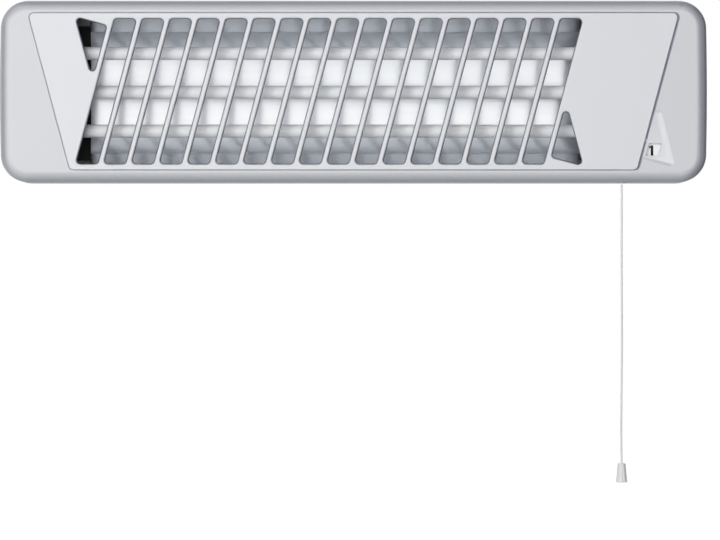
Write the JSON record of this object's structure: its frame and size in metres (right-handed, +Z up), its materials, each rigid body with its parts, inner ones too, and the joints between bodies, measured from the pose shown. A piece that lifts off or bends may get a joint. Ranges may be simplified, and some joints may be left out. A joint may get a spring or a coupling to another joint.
{
  "type": "quartz infrared heater",
  "caption": "Wall-mounted quartz infrared heater: long rounded housing that tilts on a bracket, slanted grille over quartz tubes and a reflector, pull cord switch with a number dial.",
  "frame": {"origin": "on the wall, midway between the two wall screw holes in the back face of the bracket", "axes": "+X to the right as one faces the heater, +Y into the wall, +Z up"},
  "size_m": [0.508, 0.1205, 0.3462],
  "materials": {
    "casing_white": "white moulded plastic, satin gloss",
    "grille_white": "white powder paint, satin",
    "window_clear": "clear pane over white",
    "cover_steel": "grey white paint",
    "bracket_paint": "white paint",
    "zinc_screws": "bright zinc",
    "zinc_sheet": "galvanised steel",
    "black_sheet": "heat-resistant black paint, matt",
    "dark_plastic": "black, matt",
    "dark_rubber": "black rubber",
    "polished_aluminium": "polished sheet",
    "satin_quartz": "milky satin quartz",
    "coil_wire": "resistance wire",
    "cap_ceramic": "unglazed steatite",
    "ivory_plastic": "ivory plastic",
    "brass_parts": "plain brass",
    "wire_brown": "brown insulation",
    "wire_blue": "blue insulation",
    "wire_green": "green insulation",
    "spring_steel": "spring wire",
    "dial_white": "white with printed numbers",
    "cord_white": "white braided cord",
    "knob_white": "white moulded plastic"
  },
  "bodies": {
    "wall": {"wall_bracket": "bracket_paint"},
    "housing": {"casing": "casing_white", "front_grille": "grille_white", "dial_window": "window_clear", "rear_cover": "cover_steel", "cover_screws": "zinc_screws", "grille_screws": "zinc_screws", "pivot_lug_left": "bracket_paint", "pivot_lug_right": "bracket_paint", "lug_screws": "zinc_screws", "pivot_screws": "dark_plastic", "pivot_nuts": "zinc_screws", "friction_washers": "dark_rubber", "reflector": "polished_aluminium", "reflector_screws": "zinc_screws", "heat_shield": "black_sheet", "lamp_bracket_left": "black_sheet", "lamp_bracket_right": "black_sheet", "lamp_bracket_screws": "zinc_screws", "quartz_tube_1": "satin_quartz", "quartz_tube_2": "satin_quartz", "quartz_tube_3": "satin_quartz", "heating_coil_1": "coil_wire", "heating_coil_2": "coil_wire", "heating_coil_3": "coil_wire", "tube_cap_1": "cap_ceramic", "tube_cap_2": "cap_ceramic", "tube_cap_3": "cap_ceramic", "tube_cap_4": "cap_ceramic", "tube_cap_5": "cap_ceramic", "tube_cap_6": "cap_ceramic", "terminal_block": "ivory_plastic", "terminal_screws": "brass_parts", "cable_grommet": "dark_rubber", "earth_screw": "brass_parts", "live_lead": "wire_brown", "neutral_lead": "wire_blue", "earth_lead": "wire_green", "tube_lead_1": "wire_brown", "tube_lead_2": "wire_brown", "tube_lead_3": "wire_brown", "switch_body": "dark_plastic", "switch_screws": "zinc_screws", "switch_terminals": "brass_parts", "cord_bush": "casing_white", "return_spring": "spring_steel"},
    "slider": {"pull_slider": "ivory_plastic", "cord_tail": "cord_white"},
    "dial": {"ratchet_wheel": "ivory_plastic", "dial_shaft": "zinc_sheet", "number_dial": "dial_white"},
    "cord": {"pull_cord": "cord_white", "pull_knob": "knob_white"}
  },
  "joints": [
    {"name": "tilt", "type": "hinge", "parent": "wall", "child": "housing", "pos_m": [0, -0.034, 0], "axis": [1, 0, 0], "range_deg": [0, 35]},
    {"name": "pull", "type": "slide", "parent": "housing", "child": "slider", "axis": [0, 0, -1], "range_m": [0, 0.011], "stiffness_N_per_m": 300, "springref_m": -0.01, "deforming": ["return_spring"]},
    {"name": "dial_turn", "type": "hinge", "parent": "housing", "child": "dial", "pos_m": [0.20733, -0.105, -0.02605], "axis": [0, -1, 0], "continuous": true},
    {"name": "cord_swing", "type": "hinge", "parent": "slider", "child": "cord", "pos_m": [0.19303, -0.101, -0.06655], "axis": [1, 0, 0], "range_deg": [-35, 0]}
  ],
  "couplings": [
    {"joint": "dial_turn", "follows": "pull", "rad_per_m": 71.4},
    {"joint": "cord_swing", "follows": "tilt", "ratio": -1}
  ]
}
